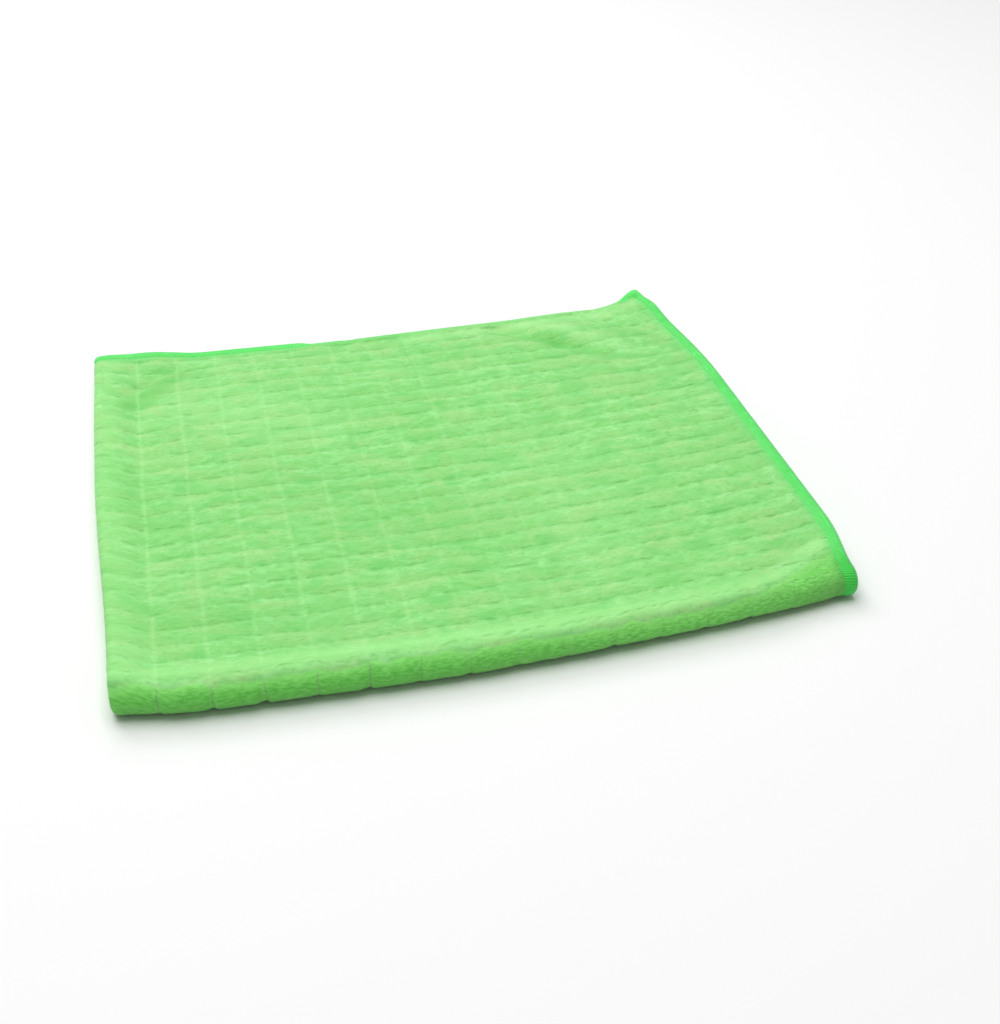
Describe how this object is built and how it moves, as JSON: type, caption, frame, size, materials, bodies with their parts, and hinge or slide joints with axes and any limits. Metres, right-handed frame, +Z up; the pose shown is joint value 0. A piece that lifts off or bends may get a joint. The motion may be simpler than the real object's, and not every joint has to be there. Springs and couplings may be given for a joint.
{
  "type": "microfibre cloth",
  "caption": "Square microfibre cleaning cloth with a bound edge, folded in quarters and lying flat, its round fold to the front.",
  "frame": {"origin": "middle of the box's underside, on the surface that the cloth lies on", "axes": "+X from the first fold at the left to the bound side, +Y from the second, round fold at the front to the bound back, +Z up"},
  "size_m": [0.2026, 0.1994, 0.0118],
  "materials": {
    "microfibre_pile": "matte short pile with a pressed grid",
    "overlock_thread": "dense thread with a soft sheen"
  },
  "bodies": {
    "root": {"cloth_panel": "microfibre_pile", "edge_binding": "overlock_thread"}
  },
  "joints": []
}
